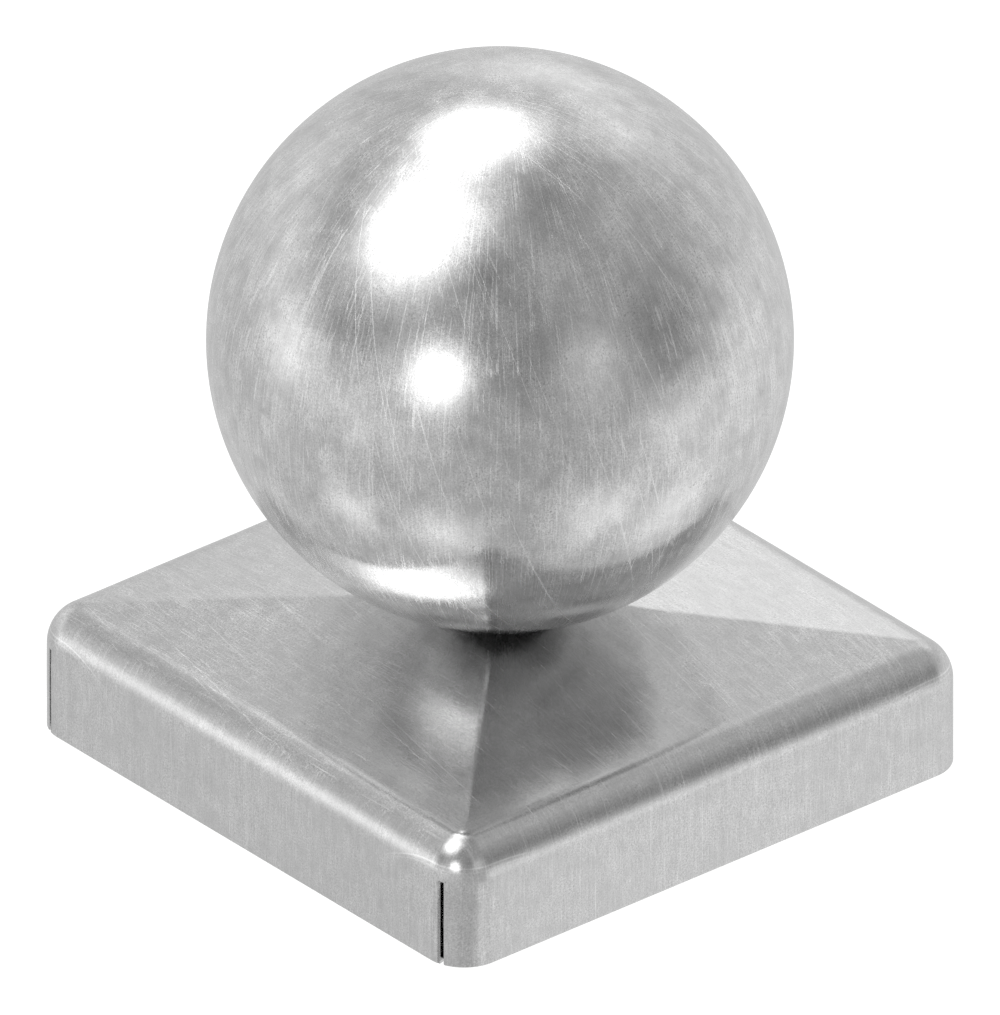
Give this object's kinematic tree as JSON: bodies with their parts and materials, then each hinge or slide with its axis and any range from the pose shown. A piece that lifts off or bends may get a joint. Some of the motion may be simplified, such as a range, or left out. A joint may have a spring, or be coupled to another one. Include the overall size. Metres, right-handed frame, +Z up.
{
  "type": "ball post cap",
  "caption": "Square galvanised steel post cap with a low pyramid top and a large round ball on its apex; it slips over a timber post.",
  "frame": {"origin": "middle of the rim plane, at the foot of the skirts", "axes": "+Z up through the apex and the middle of the ball; the front skirt faces -Y, the right skirt +X"},
  "size_m": [0.091, 0.091, 0.103],
  "materials": {
    "cap_steel": "bright galvanised sheet steel, satin, with faint rolling lines and hairline scratches",
    "ball_steel": "bright galvanised steel, satin, ground round, with fine curved hairline scratches"
  },
  "bodies": {
    "root": {"cap": "cap_steel", "ball": "ball_steel"}
  },
  "joints": []
}
